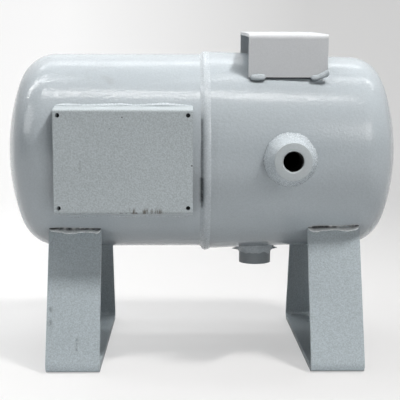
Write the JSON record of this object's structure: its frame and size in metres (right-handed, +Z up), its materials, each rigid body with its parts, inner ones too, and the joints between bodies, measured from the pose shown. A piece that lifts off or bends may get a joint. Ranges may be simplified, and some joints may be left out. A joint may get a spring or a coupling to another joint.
{
  "type": "air receiver tank",
  "caption": "Small horizontal steel air receiver on two strap feet, with a threaded side port, a threaded drain, a nameplate bracket and a top bracket.",
  "frame": {"origin": "on the floor under the feet, at the middle of the rectangle of the four foot bolt holes", "axes": "+X along the tank axis, from the nameplate end to the port end; -Y out of the side with the nameplate and the port; +Z up"},
  "size_m": [0.3995, 0.2369, 0.3375],
  "materials": {
    "shell_paint": "gloss light grey paint with orange peel",
    "weld_paint": "light grey paint over rippled weld",
    "nameplate_paint": "satin mid grey paint",
    "bracket_paint": "satin light grey paint",
    "socket_paint": "satin light grey paint, bare steel thread",
    "foot_paint": "satin light grey paint"
  },
  "bodies": {
    "root": {"shell_left": "shell_paint", "shell_right": "shell_paint", "girth_weld": "weld_paint", "nameplate_bracket": "nameplate_paint", "nameplate_weld_top": "weld_paint", "nameplate_weld_bottom": "weld_paint", "top_bracket": "bracket_paint", "top_bracket_stitch_front_left": "weld_paint", "top_bracket_stitch_front_right": "weld_paint", "top_bracket_stitch_rear_left": "weld_paint", "top_bracket_stitch_rear_right": "weld_paint", "front_socket": "socket_paint", "front_socket_weld": "weld_paint", "drain_socket": "socket_paint", "drain_socket_weld": "weld_paint", "foot_left": "foot_paint", "foot_right": "foot_paint", "foot_left_weld_front": "weld_paint", "foot_left_weld_rear": "weld_paint", "foot_right_weld_front": "weld_paint", "foot_right_weld_rear": "weld_paint"}
  },
  "joints": []
}
